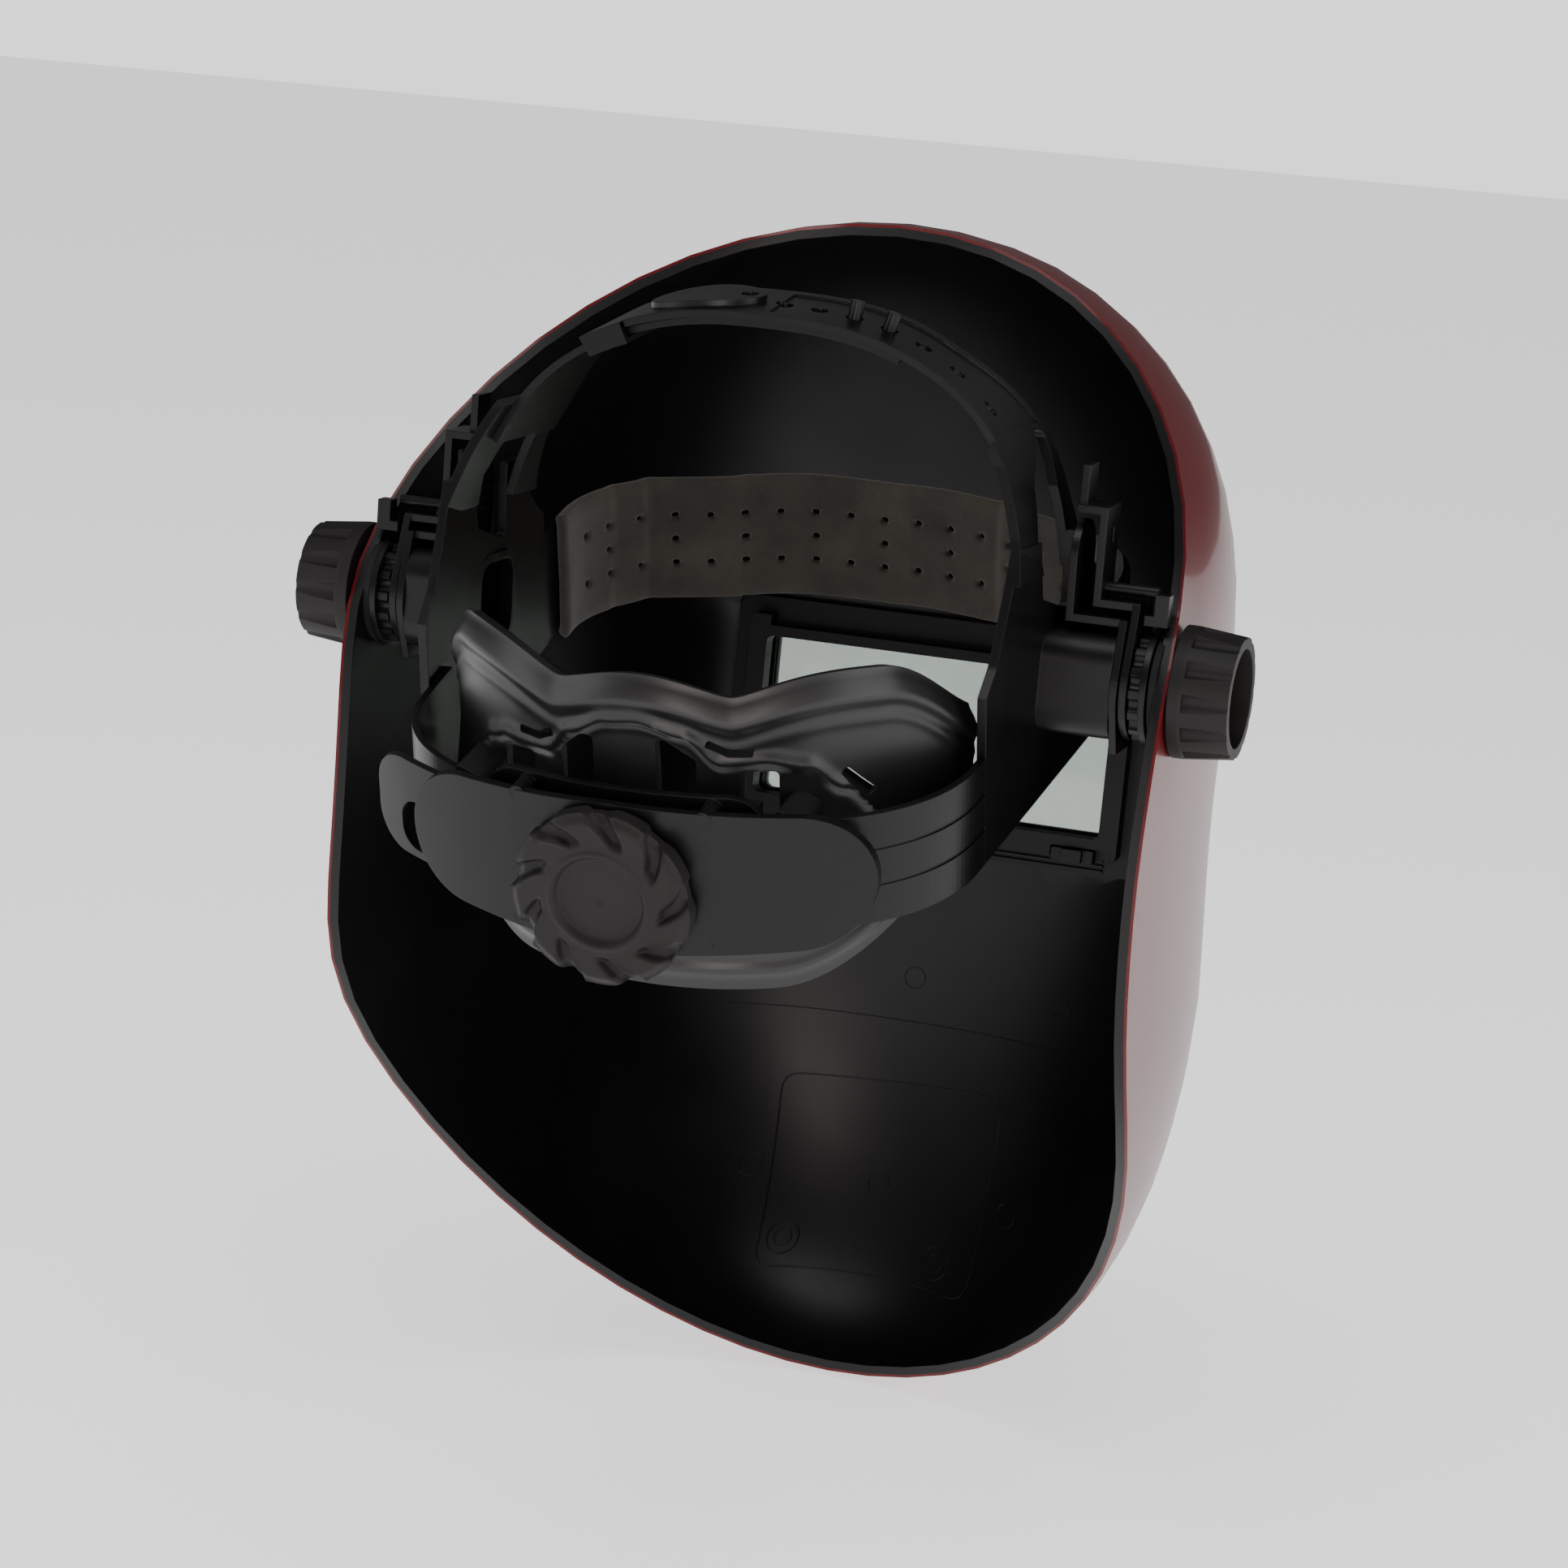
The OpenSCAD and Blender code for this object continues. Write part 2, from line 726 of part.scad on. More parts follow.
module tension_knob(right) {
    rim_d = knob_d - 2.5;
    length = knob_end - knob_x;
    color(knob_black)
    on_side(right)
    difference() {
        union() {
            along_x(knob_x) cylinder(d = knob_d, h = 2.6);
            along_x(knob_x + 2.6) cylinder(d1 = knob_d, d2 = rim_d, h = length - 2.6);
        }
        for (i = [0 : knob_flutes - 1])
            rotate([360 * i / knob_flutes, 0, 0])
            translate([0, knob_d / 2 + 0.9, 0]) along_x(knob_x + 3.4) cylinder(d = 5, h = length, $fn = 24);
        along_x(knob_x + 7.5) cylinder(d = rim_d - 5.4, h = length);
        along_x(knob_x - 1) cylinder(d = 11, h = length);
    }
}

module knob_insert(right) {
    color(steel_grey) on_side(right) washer(knob_x + 0.2, 7.3, 11, bolt_d + 0.1);
}

// Catch on the shell's inner wall that lands on the stop peg
module stop_clip(right) {
    color(nylon_black)
    on_side(right)
    translate([shell_in - 3.4, 2.9, 15.5])
    union() {
        cube([3.4, 4, 7.5]);
        translate([-2.2, 0, 0]) cube([2.2, 4, 2.4]);
    }
}

// ---------- lens group ----------

module in_lens() {
    translate([0, -face_y, lens_z]) rotate([lens_tilt, 0, 0]) children();
}

// A flat plate in the lens frame, from depth y towards the wearer
module lens_plate(y, t, w, h, r) {
    translate([0, y + t, 0]) rotate([90, 0, 0]) linear_extrude(t) rounded(w, h, r);
}

glass_y = -0.5;

module lens_frame() {
    window_w = lens_w - 2 * lens_lip;
    window_h = lens_h - 2 * lens_lip;
    color(nylon_black)
    in_lens()
    difference() {
        union() {
            lens_plate(shell_t + 0.3, 3, 122, 66, 3);
            lens_plate(-2.4, 7, 112.6, 56.6, 4);
            lens_plate(shell_t + 0.3, 8, 112.6, 56.6, 2);
            for (i = [0 : 2])
                translate([0, 0, -28.8 - 1.5 * i]) lens_plate(shell_t + 2.3, 2, 104, 0.8, 0.3);
        }
        lens_plate(glass_y - 0.2, 6.4, lens_w + 0.4, lens_h + 0.4, 1);
        lens_plate(-4, 20, window_w, window_h, 2);
        translate([0, 0, lens_h / 2 + 2]) lens_plate(shell_t + 3.3, 10, lens_w - 8, 4.4, 0.5);
        translate([-44 - latch_travel / 2, 0, -lens_h / 2 - 2])
            lens_plate(shell_t + 5.3, 10, 13 + latch_travel, 4.4, 0.4);
    }
}

module outer_lens() {
    color("#c9d6cf", 0.5) in_lens() lens_plate(glass_y, 1, lens_w, lens_h, 0.6);
}

module lens_gasket() {
    color(knob_black)
    in_lens()
    difference() {
        lens_plate(glass_y + 1, 0.8, lens_w, lens_h, 0.6);
        lens_plate(glass_y, 4, lens_w - 6, lens_h - 6, 2);
    }
}

module filter_lens() {
    color("#a9bdb2", 0.6) in_lens() lens_plate(glass_y + 1.8, 3, lens_w, lens_h, 0.6);
}

module inner_lens() {
    color("#d3ddd8", 0.5) in_lens() lens_plate(glass_y + 4.8, 1, lens_w, lens_h, 0.6);
}

module lens_latch() {
    color(nylon_black)
    in_lens()
    translate([-44, 0, -lens_h / 2 - 2])
    union() {
        lens_plate(shell_t + 5.6, 3.6, 12, 3.6, 0.4);
        lens_plate(shell_t + 9.2, 1.6, 6, 3.6, 0.4);
    }
}

// ---------- assembly ----------

shell();
lens_frame();
outer_lens();
filter_lens();
inner_lens();
lens_gasket();
lens_latch();
stop_clip(true);  // stop_clip_right
stop_clip(false);  // stop_clip_left
friction_ring(true);  // friction_ring_right
friction_ring(false);  // friction_ring_left
front_band();
sweatband();
side_frame(true);  // side_frame_right
side_frame(false);  // side_frame_left
rear_strap(true);  // rear_strap_right
rear_strap(false);  // rear_strap_left
top_strap_right();
top_strap_left();
strap_keeper();
index_plate(true);  // index_plate_right
index_plate(false);  // index_plate_left
stop_lever(true);  // stop_lever_right
stop_lever(false);  // stop_lever_left
detent_ring(true);  // detent_ring_right
detent_ring(false);  // detent_ring_left
spacer_washer(true);  // spacer_washer_right
spacer_washer(false);  // spacer_washer_left
pivot_bolt(true);  // pivot_bolt_right
pivot_bolt(false);  // pivot_bolt_left
tension_knob(true);  // tension_knob_right
tension_knob(false);  // tension_knob_left
knob_insert(true);  // knob_insert_right
knob_insert(false);  // knob_insert_left
ratchet_cover();
ratchet_base();
ratchet_knob();
ratchet_pinion();
ratchet_screw();
click_spring();
rack_right();
rack_left();
nape_pad();
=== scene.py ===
"""Looks of the flip-up welding helmet: lacquered shell, moulded headgear, felt band, nape pad.

Numbers are in millimetres until MM turns them into Blender's metres; angles are in radians.
"""

import json
import math

import bmesh
import bpy
from mathutils import Matrix, Vector, noise
from mathutils.bvhtree import BVHTree
from mathutils.kdtree import KDTree


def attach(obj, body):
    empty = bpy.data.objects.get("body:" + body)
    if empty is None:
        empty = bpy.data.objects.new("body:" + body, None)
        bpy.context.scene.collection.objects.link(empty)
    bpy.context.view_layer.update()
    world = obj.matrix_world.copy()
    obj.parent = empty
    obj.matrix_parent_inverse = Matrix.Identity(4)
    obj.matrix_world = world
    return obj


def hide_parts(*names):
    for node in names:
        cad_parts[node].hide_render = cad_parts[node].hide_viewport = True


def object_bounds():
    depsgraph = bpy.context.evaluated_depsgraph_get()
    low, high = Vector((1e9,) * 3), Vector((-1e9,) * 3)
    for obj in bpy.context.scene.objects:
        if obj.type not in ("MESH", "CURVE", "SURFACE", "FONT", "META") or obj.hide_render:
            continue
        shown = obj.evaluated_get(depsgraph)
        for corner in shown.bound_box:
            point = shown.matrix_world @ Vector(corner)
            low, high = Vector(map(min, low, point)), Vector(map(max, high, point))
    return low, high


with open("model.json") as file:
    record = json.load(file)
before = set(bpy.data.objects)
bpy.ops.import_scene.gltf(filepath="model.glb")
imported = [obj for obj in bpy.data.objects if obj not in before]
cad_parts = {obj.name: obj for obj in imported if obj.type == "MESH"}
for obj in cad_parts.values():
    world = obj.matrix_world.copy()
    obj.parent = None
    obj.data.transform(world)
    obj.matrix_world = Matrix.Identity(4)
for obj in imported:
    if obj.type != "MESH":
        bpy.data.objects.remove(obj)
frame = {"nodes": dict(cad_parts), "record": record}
cad_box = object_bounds()
nodes = frame["nodes"]

MM = 0.001

# The headband's own frame: it slopes down towards the nape, and its middle is below the hubs
RING_TILT = math.radians(-14.5)
RING_DROP = -13.5
RING = Matrix.Translation((0, 0, RING_DROP * MM)) @ Matrix.Rotation(RING_TILT, 4, "X")
TO_RING = RING.inverted()


# ---------- small helpers ----------

def colour(code):
    """An sRGB hex value such as 7a1018 as linear red, green, blue and alpha."""
    parts = [int(code[i:i + 2], 16) / 255 for i in (0, 2, 4)]
    linear = [c / 12.92 if c <= 0.04045 else ((c + 0.055) / 1.055) ** 2.4 for c in parts]
    return (*linear, 1.0)


def add_node(tree, kind, settings=None, links=None):
    """Adds a node; settings are its properties or sockets, links join its sockets to outputs."""
    node = tree.nodes.new(kind)
    for key, value in (settings or {}).items():
        if isinstance(key, str) and hasattr(node, key):
            setattr(node, key, value)
        else:
            node.inputs[key].default_value = value
    for key, source in (links or {}).items():
        tree.links.new(source, node.inputs[key])
    return node


def smooth_step(low, high, value):
    """Rises softly from 0 at low to 1 at high."""
    t = min(1.0, max(0.0, (value - low) / (high - low)))
    return t * t * (3 - 2 * t)


def plateau(value, rise, fall):
    """0, then 1 between the two (low, high) slopes, then 0 again."""
    return smooth_step(*rise, value) * (1 - smooth_step(*fall, value))


def bump_at(value, centre, width):
    """A soft bell of height 1 round centre."""
    return math.exp(-((value - centre) / width) ** 2)


def through(stations, x):
    """A smooth line through (x, z) stations in rising x."""
    if x <= stations[0][0]:
        return stations[0][1]
    for (x0, z0), (x1, z1) in zip(stations, stations[1:]):
        if x <= x1:
            return z0 + (z1 - z0) * smooth_step(x0, x1, x)
    return stations[-1][1]


def put_in_scene(name, data):
    """A new object for a mesh, curve, lamp or camera."""
    thing = bpy.data.objects.new(name, data)
    bpy.context.scene.collection.objects.link(thing)
    return thing


def mesh_of(name, bm):
    """Empties a bmesh into a new mesh."""
    mesh = bpy.data.meshes.new(name)
    bm.to_mesh(mesh)
    bm.free()
    return mesh


def finished_mesh(thing):
    """The mesh that an object comes to with its curve thickness or modifiers applied."""
    graph = bpy.context.evaluated_depsgraph_get()
    return bpy.data.meshes.new_from_object(thing.evaluated_get(graph), depsgraph=graph)


def make_piece(name, bm, materials, body, crease=35):
    """Turns a bmesh into a piece on a body, smooth except at edges sharper than crease degrees."""
    for edge in bm.edges:
        edge.smooth = len(edge.link_faces) == 2 and edge.calc_face_angle(0) < math.radians(crease)
    for face in bm.faces:
        face.smooth = True
    mesh = mesh_of(name, bm)
    piece = put_in_scene(name, mesh)
    for material in materials:
        mesh.materials.append(material)
    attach(piece, body)
    return piece


def merged_copy(node):
    """A bmesh of a CAD node with its loose triangles joined."""
    bm = bmesh.new()
    bm.from_mesh(nodes[node].data)
    bmesh.ops.remove_doubles(bm, verts=bm.verts, dist=0.01 * MM)
    return bm


def aim_sheet(bm, heart, away):
    """Turns an open sheet's faces away from the heart, or towards it, before it is thickened."""
    bmesh.ops.recalc_face_normals(bm, faces=bm.faces)
    bm.faces.ensure_lookup_table()
    middle = bm.faces[len(bm.faces) // 2]
    if (middle.normal.dot(middle.calc_center_median() - heart) > 0) != away:
        bmesh.ops.reverse_faces(bm, faces=bm.faces)


def new_verts(result):
    """The vertices among what a bmesh operator made."""
    return [item for item in result["geom"] if isinstance(item, bmesh.types.BMVert)]


def cut_away(piece, bm):
    """Cuts a closed bmesh out of a piece."""
    cutter = put_in_scene("cutter", mesh_of("cutter", bm))
    cut = piece.modifiers.new("cut", "BOOLEAN")
    cut.object = cutter
    cut.operation = "DIFFERENCE"
    cut.solver = "MANIFOLD"
    done = finished_mesh(piece)
    piece.modifiers.clear()
    piece.data = done
    bpy.data.objects.remove(cutter)


# ---------- materials ----------

# The Mix node's colour sockets, which share their names with its other sockets
MIX_A, MIX_B, MIX_RESULT = 6, 7, 2


def new_material(name):
    """An empty node material and its tree."""
    material = bpy.data.materials.new(name)
    material.use_nodes = True
    material.node_tree.nodes.clear()
    return material, material.node_tree


def object_place(tree):
    """The coordinates that every pattern here is drawn on."""
    return add_node(tree, "ShaderNodeTexCoord").outputs["Object"]


def lumps(tree, place, size, detail, roughness=0.5):
    """Noise whose lumps are about size millimetres across, on Object coordinates in metres."""
    settings = {"Scale": 1000 / size, "Detail": detail, "Roughness": roughness}
    return add_node(tree, "ShaderNodeTexNoise", settings, {"Vector": place}).outputs["Fac"]


def two_tone(tree, share, dark, light):
    """A colour that runs from dark to light."""
    settings = {"data_type": "RGBA", MIX_A: colour(dark), MIX_B: colour(light)}
    return add_node(tree, "ShaderNodeMix", settings, {"Factor": share}).outputs[MIX_RESULT]


def close_material(tree, settings, links):
    """Adds the shader and joins it to the output."""
    shader = add_node(tree, "ShaderNodeBsdfPrincipled", settings, links)
    add_node(tree, "ShaderNodeOutputMaterial", None, {"Surface": shader.outputs["BSDF"]})


def moulded(name, dark, light, rough, grain=0.6, depth=0.02, edge=0.35, patch=35, gloss=0.28):
    """Injection-moulded plastic: patchy tone, fine texture from the mould, and softened edges.

    grain and depth are the texture's size and height, edge the radius that edges are rounded to,
    and patch the size of the patches in tone and shine, all in millimetres.
    """
    material, tree = new_material(name)
    place = object_place(tree)
    patches = lumps(tree, place, patch, detail=3.0)
    texture = lumps(tree, place, grain, detail=2.0)
    shine = add_node(tree, "ShaderNodeMapRange",
                     {"From Min": 0.3, "From Max": 0.7,
                      "To Min": rough - 0.05, "To Max": rough + 0.07}, {"Value": patches})
    soft_edge = add_node(tree, "ShaderNodeBevel", {"samples": 4, "Radius": edge * MM})
    surface = add_node(tree, "ShaderNodeBump", {"Strength": 0.5, "Distance": depth * MM},
                       {"Height": texture, "Normal": soft_edge.outputs["Normal"]})
    close_material(tree, {"IOR": 1.5, "Specular IOR Level": gloss},
                   {"Base Color": two_tone(tree, patches, dark, light),
                    "Roughness": shine.outputs["Result"], "Normal": surface.outputs["Normal"]})
    return material


def lacquer(name, dark, light):
    """Spray lacquer under clear coat: deep and glossy, with a faint fleck and orange peel."""
    material, tree = new_material(name)
    place = object_place(tree)
    # The fleck is far finer in life, and is drawn at 0.5 mm so that it shows
    fleck = lumps(tree, place, 0.5, detail=1.0)
    peel = add_node(tree, "ShaderNodeBump", {"Strength": 0.12, "Distance": 0.02 * MM},
                    {"Height": lumps(tree, place, 2.5, detail=1.0)})
    close_material(tree, {"IOR": 1.4, "Specular IOR Level": 0.3, "Metallic": 0.1,
                          "Roughness": 0.38, "Coat Weight": 0.3, "Coat Roughness": 0.08},
                   {"Base Color": two_tone(tree, fleck, dark, light),
                    "Coat Normal": peel.outputs["Normal"]})
    return material


def pane(name, tint):
    """Clear sheet with a faint green cast, lightly hazed by handling."""
    material, tree = new_material(name)
    haze = lumps(tree, object_place(tree), 18, detail=4.0)
    rough = add_node(tree, "ShaderNodeMapRange", {"To Min": 0.01, "To Max": 0.07}, {"Value": haze})
    close_material(tree, {"IOR": 1.3, "Transmission Weight": 1.0, "Base Color": colour(tint)},
                   {"Roughness": rough.outputs["Result"]})
    return material


def felt(name, dark, light):
    """Needled wool-mix felt: matt, with short fibres, worn patches and a fuzzy sheen."""
    material, tree = new_material(name)
    place = object_place(tree)
    fibre = lumps(tree, place, 0.7, detail=5.0, roughness=0.75)
    worn = lumps(tree, place, 14, detail=3.0)
    both = add_node(tree, "ShaderNodeMath", {"operation": "MULTIPLY_ADD", 1: 0.6},
                    {0: fibre, 2: worn})
    tone = add_node(tree, "ShaderNodeMapRange", {"From Min": 0.5, "From Max": 1.15},
                    {"Value": both.outputs[0]})
    nap = add_node(tree, "ShaderNodeBump", {"Strength": 0.8, "Distance": 0.25 * MM},
                   {"Height": fibre})
    close_material(tree, {"IOR": 1.45, "Roughness": 0.95,
                          "Sheen Weight": 0.25, "Sheen Roughness": 0.5},
                   {"Base Color": two_tone(tree, tone.outputs["Result"], dark, light),
                    "Normal": nap.outputs["Normal"]})
    return material


def metal(name, tint, rough):
    """Plated or turned metal, its shine broken up by fine tool marks."""
    material, tree = new_material(name)
    marks = lumps(tree, object_place(tree), 1.2, detail=2.0)
    shine = add_node(tree, "ShaderNodeMapRange", {"To Min": rough - 0.08, "To Max": rough + 0.1},
                     {"Value": marks})
    close_material(tree, {"Metallic": 1.0, "Base Color": colour(tint)},
                   {"Roughness": shine.outputs["Result"]})
    return material


# Satin black nylon of the straps and frames: low sheen, brown-black
NYLON = moulded("moulded_black_nylon", "070606", "0e0d0d", 0.33)
# Softer, more open texture on the nape pad, so its ridges carry broad highlights
PAD_NYLON = moulded("moulded_pad_polyethylene", "121111", "1d1b1b", 0.36,
                    grain=0.9, depth=0.015, gloss=0.5)
# Matt thermoplastic rubber of the grips: grainy and slightly brown
GRIP = moulded("moulded_rubbery_grip", "120f0f", "1c1918", 0.55, grain=0.45, depth=0.04, edge=0.5)
# Dark satin inside of the shell, straight from the mould
SHELL_INSIDE = moulded("moulded_black_shell_inside", "050404", "0a0809", 0.4,
                       grain=0.5, depth=0.006, edge=0.2, patch=60, gloss=0.34)
# Glass-filled nylon of the lens frame: a little greyer than the straps
FRAME_PLASTIC = moulded("moulded_lens_frame_nylon", "0b0b0b", "121111", 0.4)
# Matt rubber of the lens gasket and the friction rings
RUBBER = moulded("moulded_black_rubber", "0c0c0c", "131212", 0.65)
# Candy red outside of the shell
RED = lacquer("sprayed_candy_red_lacquer", "42060b", "6f0f16")
# Nearly colourless cover panes
CLEAR = pane("clear_polycarbonate_cover", "f2f7f3")
# Filter glass in its light state, slightly greyer than the covers
FILTER = pane("clear_filter_glass", "dfe8e1")
# Brown-grey felt of the sweatband
FELT = felt("needled_brown_felt", "1d1a17", "3d3830")
# Pivot bolts, washers, screws and the click spring
ZINC = metal("zinc_plated_steel", "a9abad", 0.32)
# Threaded inserts of the tension knobs
BRASS = metal("turned_brass", "b08d4a", 0.3)

BY_SLOT = {
    "shell_lacquer": RED, "lens_frame_plastic": FRAME_PLASTIC, "clear_cover_pane": CLEAR,
    "filter_glass": FILTER, "black_rubber": RUBBER, "brown_felt": FELT, "pad_nylon": PAD_NYLON,
    "headgear_nylon": NYLON, "knob_plastic": GRIP, "zinc_steel": ZINC, "brass_insert": BRASS,
}
for part in frame["record"]["subparts"]:
    part_mesh = nodes[part["node"]].data
    part_mesh.materials.clear()
    part_mesh.materials.append(BY_SLOT[part["material_slot"]])


# ---------- shell: red outside, black inside, a red line along the rim ----------

SHELL_HEART = Vector((0, -20, -60)) * MM    # a point that the whole wall curves round
RED_SHARE = 0.72                            # share of its corners outside before a face is red
RIM_EASING = 3                              # rounds of smoothing along the rim
RIM_FRONT = -120 * MM                       # edges ahead of this belong to the lens opening
HUB_REACH = 14 * MM                         # edges this close to the tilt axis are hub holes
RIM_FADE = 25 * MM                          # how far into the wall the easing is felt
RIM_BLEND = 14 * MM                         # how widely the rim's shifts are averaged there
RIM_NEIGHBOURS = 8


def ease_rim(bm, outer, across):
    """Rounds the rim's outline: each point moves towards its neighbours, and the wall follows."""
    on_edges = {vert for edge in across for vert in edge.verts}
    start = {vert: vert.co.copy() for vert in bm.verts
             if vert in on_edges and vert.co.y > RIM_FRONT
             and math.hypot(vert.co.y, vert.co.z) > HUB_REACH}
    rim = list(start)
    for _ in range(RIM_EASING):
        goal = {}
        for vert in rim:
            beside = [edge.other_vert(vert) for edge in vert.link_edges]
            beside = [v for v in beside if v in start and v[outer] == vert[outer]]
            if len(beside) == 2:
                goal[vert] = vert.co * 0.5 + (beside[0].co + beside[1].co) * 0.25
        for vert, place in goal.items():
            vert.co = place
    tree = KDTree(len(rim))
    for i, vert in enumerate(rim):
        tree.insert(start[vert], i)
    tree.balance()
    for vert in bm.verts:
        if vert in start:
            continue
        near = tree.find_n(vert.co, RIM_NEIGHBOURS)
        fade = math.exp(-(near[0][2] / RIM_FADE) ** 2)
        if fade < 0.01:
            continue
        weights = [math.exp(-(gap / RIM_BLEND) ** 2) + 1e-9 for _, _, gap in near]
        shift = sum((w * (rim[i].co - start[rim[i]]) for w, (_, i, _) in zip(weights, near)),
                    Vector())
        vert.co += shift * fade / sum(weights)


def shell_skin():
    """The shell again, with an eased rim and its two colours."""
    bm = merged_copy("shell")
    outer = bm.verts.layers.float.new("outer")
    for vert in bm.verts:
        away = vert.co - SHELL_HEART
        facing = sum(face.normal.dot(away) * face.calc_area() for face in vert.link_faces)
        vert[outer] = 1.0 if facing > 0 else 0.0
    across = [e for e in bm.edges if e.verts[0][outer] != e.verts[1][outer]]
    ease_rim(bm, outer, across)
    bmesh.ops.subdivide_edges(bm, edges=across, cuts=3)
    for face in bm.faces:
        share = sum(v[outer] for v in face.verts) / len(face.verts)
        face.material_index = 0 if share > RED_SHARE else 1
    skin = make_piece("shell_skin", bm, [RED, SHELL_INSIDE], "shell_body", crease=40)
    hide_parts("shell")
    return skin


SKIN = shell_skin()


# ---------- mould marks inside the chin ----------

SIGHT_Y = -60                               # inside the shell, well behind its front wall

PANEL_CORNERS = [(34, -153), (-31, -151), (-31, -203), (31, -203)]
WITNESS_LINE = [(-45 + k, -134.5) for k in range(0, 100, 2)]
DATE_STAMPS = {"left": (25.3, -196), "right": (-19.3, -196.6)}
DATE_RING, DATE_CORE = 4.1, 2.2             # radii of a date stamp's two rings
EJECTOR_PINS = [(44, -120), (-44, -122), (0, -122), (38, -178), (-38, -180), (2, -180)]
PIN_RING = 3


def inner_wall(x, z):
    """The point of the shell's inner wall ahead of (x, z), in metres."""
    hit, place = SKIN.ray_cast(Vector((x, SIGHT_Y, z)) * MM, Vector((0, -1, 0)))[:2]
    return place if hit else None


def mould_line(name, outline, width, closed=True):
    """A fine raised line on the inner wall, through (x, z) points."""
    curve = bpy.data.curves.new(name, "CURVE")
    curve.dimensions = "3D"
    curve.bevel_depth = width / 2 * MM
    curve.bevel_resolution = 2
    spline = curve.splines.new("POLY")
    places = [p for p in (inner_wall(x, z) for x, z in outline) if p]
    spline.points.add(len(places) - 1)
    for point, place in zip(spline.points, places):
        point.co = (*place, 1)
    spline.use_cyclic_u = closed
    wire = put_in_scene(name + "_curve", curve)
    bm = bmesh.new()
    bm.from_mesh(finished_mesh(wire))
    bpy.data.objects.remove(wire)
    piece = make_piece(name, bm, [SHELL_INSIDE], "shell_body")


def rounded_outline(corners, step=2.0, radius=5):
    """Points round a polygon at about the given step, with its corners rounded."""
    out = []
    for i, here in enumerate(corners):
        before, after = Vector(corners[i - 1]), Vector(corners[(i + 1) % len(corners)])
        here = Vector(here)
        a = here + (before - here).normalized() * radius
        b = here + (after - here).normalized() * radius
        out += [a.lerp(here, t).lerp(here.lerp(b, t), t) for t in (0, 0.25, 0.5, 0.75, 1)]
        end = after + (here - after).normalized() * radius
        count = max(1, int((end - b).length / step))
        out += [b.lerp(end, k / count) for k in range(1, count)]
    return out


def ring_outline(x, z, radius, count=28):
    """Points round a circle."""
    turns = [math.tau * k / count for k in range(count)]
    return [(x + radius * math.cos(turn), z + radius * math.sin(turn)) for turn in turns]


mould_line("mould_panel_line", rounded_outline(PANEL_CORNERS), width=0.5)
mould_line("mould_witness_line", WITNESS_LINE, width=0.35, closed=False)
for side, (x, z) in DATE_STAMPS.items():
    mould_line("date_stamp_" + side, ring_outline(x, z, DATE_RING), width=0.5)
    mould_line("date_stamp_core_" + side, ring_outline(x, z, DATE_CORE, count=20), width=0.4)
for number, (x, z) in enumerate(EJECTOR_PINS):
    mould_line(f"ejector_mark_{number}", ring_outline(x, z, PIN_RING), width=0.3)


# ---------- felt sweatband ----------

SWEAT_HEART = Vector((0, -45, 0)) * MM      # a point that the band curves round
LINE_GAP = 6 * MM                           # a longer jump between rays has missed the band
HOLE_PITCH = 9.3
CELLS = 5                                   # mesh cells from one hole to the next
BAND_ROWS = 21
OUTER_ROWS, MIDDLE_ROW = (6, 14), 10        # rows with a hole at every pitch, and every second
BAND_HEIGHT = 35
FELT_THICK = 3.0
FELT_LIFT = 0.3                             # how far the felt stands in from the CAD solid
CREASES = [(0.12, 0.9), (0.2, 1.5), (0.335, 0.7), (0.69, 0.8), (0.82, 1.6), (0.87, 0.9)]
CREASE_WIDTH = CREASE_LEAN = 0.006          # as shares of the band's length, as in CREASES


def band_line():
    """The sweatband's inner line in the headband's frame, from temple round the brow to temple."""
    bm = merged_copy("sweatband")
    bmesh.ops.transform(bm, matrix=TO_RING, verts=bm.verts)
    tree = BVHTree.FromBMesh(bm)
    bm.free()
    hits = []
    for tenths in range(-1220, 1221, 4):
        turn = math.radians(tenths / 10)
        hit = tree.ray_cast(SWEAT_HEART, Vector((math.sin(turn), -math.cos(turn), 0)))[0]
        if hit is not None and (not hits or (hit - hits[-1]).length < LINE_GAP):
            hits.append(hit)
    return hits


def resample(line, count):
    """The line as count even steps, and its length."""
    lengths = [0.0]
    for a, b in zip(line, line[1:]):
        lengths.append(lengths[-1] + (b - a).length)
    out, at = [], 0
    for i in range(count + 1):
        want = lengths[-1] * i / count
        while at < len(line) - 2 and lengths[at + 1] < want:
            at += 1
        span = max(1e-9, lengths[at + 1] - lengths[at])
        out.append(line[at].lerp(line[at + 1], (want - lengths[at]) / span))
    return out, lengths[-1]


def punched(face, columns):
    """Whether a cell of the flat grid is one of the band's holes."""
    middle = face.calc_center_median()
    column = int((middle.x + 0.5) * columns)
    row = int((middle.y + 0.5) * BAND_ROWS)
    if not CELLS < column < columns - CELLS:
        return False
    return (row in OUTER_ROWS and column % CELLS == 2
            or row == MIDDLE_ROW and column % (2 * CELLS) == 2)


